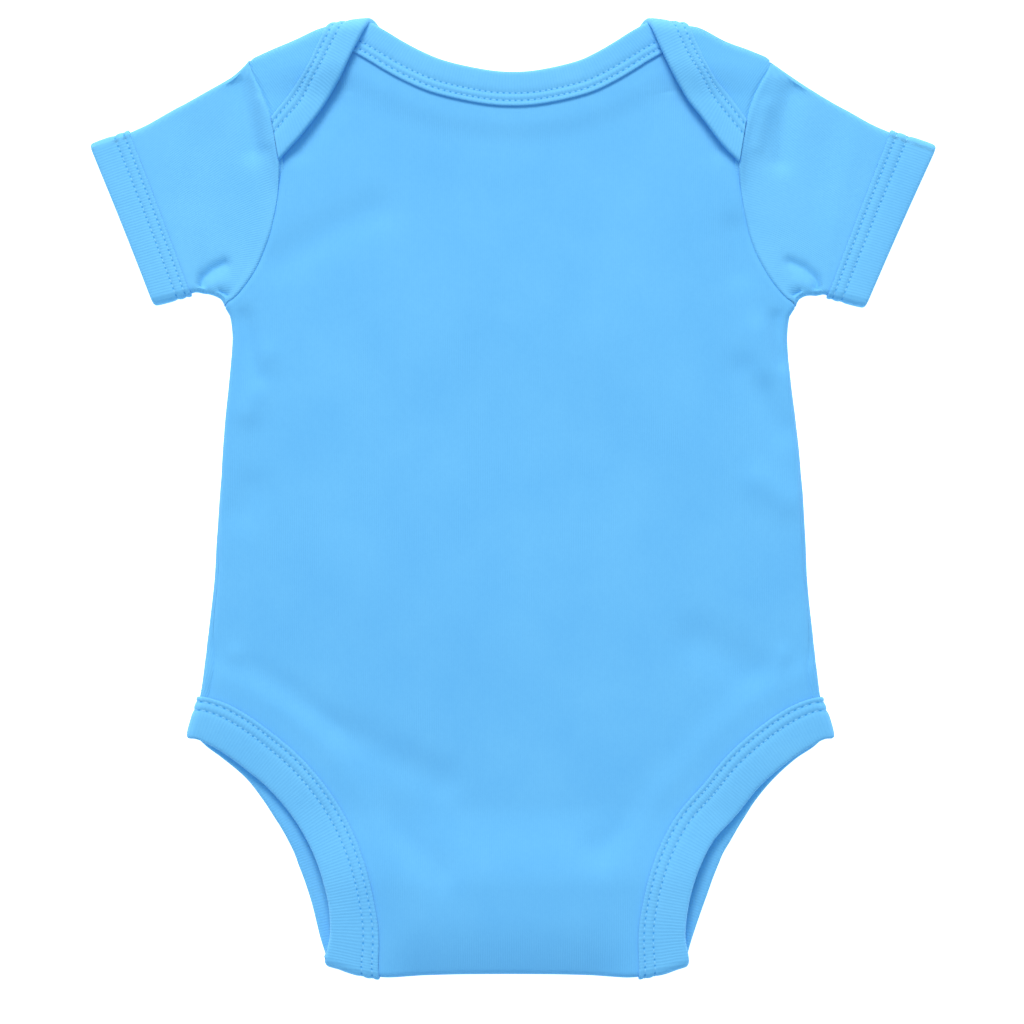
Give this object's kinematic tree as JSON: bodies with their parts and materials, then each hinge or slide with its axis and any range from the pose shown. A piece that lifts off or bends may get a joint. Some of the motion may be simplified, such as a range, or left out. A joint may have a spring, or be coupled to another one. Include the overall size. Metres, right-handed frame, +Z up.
{
  "type": "baby romper (short-sleeved envelope-neck bodysuit), lying flat with its back up",
  "caption": "Plain knit baby bodysuit with short sleeves, lap shoulders, rib bindings and a folded-under snap crotch, laid flat with its back up.",
  "frame": {"origin": "on the table, under the middle of the garment's outline", "axes": "+X to the viewer's right across the garment, +Y from the crotch fold to the neck, +Z up off the table"},
  "size_m": [0.3312, 0.3772, 0.0114],
  "materials": {
    "body_cloth": "matte cotton interlock, pale blue",
    "rib_cloth": "matte cotton rib, pale blue",
    "snap": "satin white"
  },
  "bodies": {
    "root": {"back_panel": "body_cloth", "front_panel": "body_cloth", "sleeve_left": "body_cloth", "sleeve_right": "body_cloth", "back_neck_band": "rib_cloth", "front_neck_band": "rib_cloth", "cuff_band_left": "rib_cloth", "cuff_band_right": "rib_cloth", "leg_band_left": "rib_cloth", "leg_band_right": "rib_cloth", "snap_cap_left": "snap", "snap_cap_middle": "snap", "snap_cap_right": "snap", "snap_stud_left": "snap", "snap_stud_middle": "snap", "snap_stud_right": "snap"}
  },
  "joints": []
}
